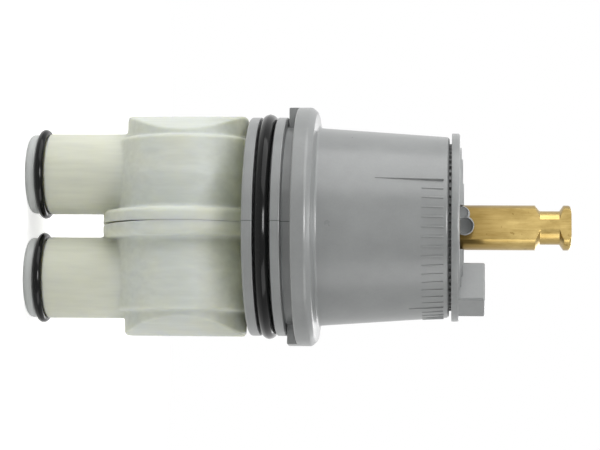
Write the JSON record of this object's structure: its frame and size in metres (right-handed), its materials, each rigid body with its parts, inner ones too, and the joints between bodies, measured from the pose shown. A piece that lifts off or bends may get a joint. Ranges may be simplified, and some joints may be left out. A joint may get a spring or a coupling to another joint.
{
  "type": "shower valve cartridge",
  "caption": "Pressure balancing shower mixer cartridge with sealed inlet tubes on white housing halves, a grey flanged bonnet, a toothed limit stop and a brass double-D stem.",
  "frame": {"origin": "on the cartridge's axis, level with the ends of the two inlet tubes that it stands on", "axes": "+Z along the axis towards the stem's end, X through the two inlet tubes with the cold one at +X, -Y towards the side that the picture shows"},
  "size_m": [0.0502, 0.0502, 0.1141],
  "materials": {
    "white_nylon": "moulded translucent nylon, satin",
    "blue_white_nylon": "moulded nylon, satin",
    "grey_plastic": "moulded engineering plastic, fine satin",
    "black_rubber": "greased nitrile rubber",
    "turned_brass": "turned brass, slightly dulled",
    "white_ceramic": "lapped alumina",
    "grey_ceramic": "lapped alumina",
    "stainless_steel": "ground stainless steel",
    "spring_wire": "drawn stainless wire",
    "black_acetal": "moulded acetal",
    "ivory_acetal": "moulded acetal"
  },
  "bodies": {
    "housing": {"hot_housing": "white_nylon", "cold_housing": "white_nylon", "hot_inlet_seal": "black_rubber", "cold_inlet_seal": "black_rubber", "hot_check_cage": "blue_white_nylon", "cold_check_cage": "blue_white_nylon", "hot_check_guide": "ivory_acetal", "cold_check_guide": "ivory_acetal", "balance_sleeve": "stainless_steel", "balance_sleeve_seals": "black_rubber", "balance_sleeve_plugs": "stainless_steel", "bonnet": "grey_plastic", "bonnet_seal": "black_rubber", "port_gasket": "black_rubber", "fixed_ceramic_disc": "white_ceramic", "thrust_washer": "ivory_acetal"},
    "stem": {"stem": "turned_brass", "stem_seals": "black_rubber", "disc_carrier": "black_acetal", "moving_ceramic_disc": "grey_ceramic"},
    "limit_stop": {"limit_stop": "grey_plastic"},
    "spool": {"balance_spool": "stainless_steel"},
    "hot_poppet": {"hot_check_poppet": "black_acetal", "hot_poppet_seal": "black_rubber", "hot_check_spring": "spring_wire"},
    "cold_poppet": {"cold_check_poppet": "black_acetal", "cold_poppet_seal": "black_rubber", "cold_check_spring": "spring_wire"}
  },
  "joints": [
    {"name": "stem_turn", "type": "hinge", "parent": "housing", "child": "stem", "pos_m": [0, 0, 0.091], "axis": [0, 0, 1], "range_deg": [0, 120]},
    {"name": "limit_stop_lift", "type": "slide", "parent": "housing", "child": "limit_stop", "axis": [0, 0, 1], "range_m": [0, 0.03]},
    {"name": "spool_slide", "type": "slide", "parent": "housing", "child": "spool", "axis": [1, 0, 0], "range_m": [-0.0015, 0.0015]},
    {"name": "hot_check_open", "type": "slide", "parent": "housing", "child": "hot_poppet", "axis": [0, 0, 1], "range_m": [0, 0.0025], "stiffness_N_per_m": 150, "springref_m": -0.003, "deforming": ["hot_check_spring"]},
    {"name": "cold_check_open", "type": "slide", "parent": "housing", "child": "cold_poppet", "axis": [0, 0, 1], "range_m": [0, 0.0025], "stiffness_N_per_m": 150, "springref_m": -0.003, "deforming": ["cold_check_spring"]}
  ]
}
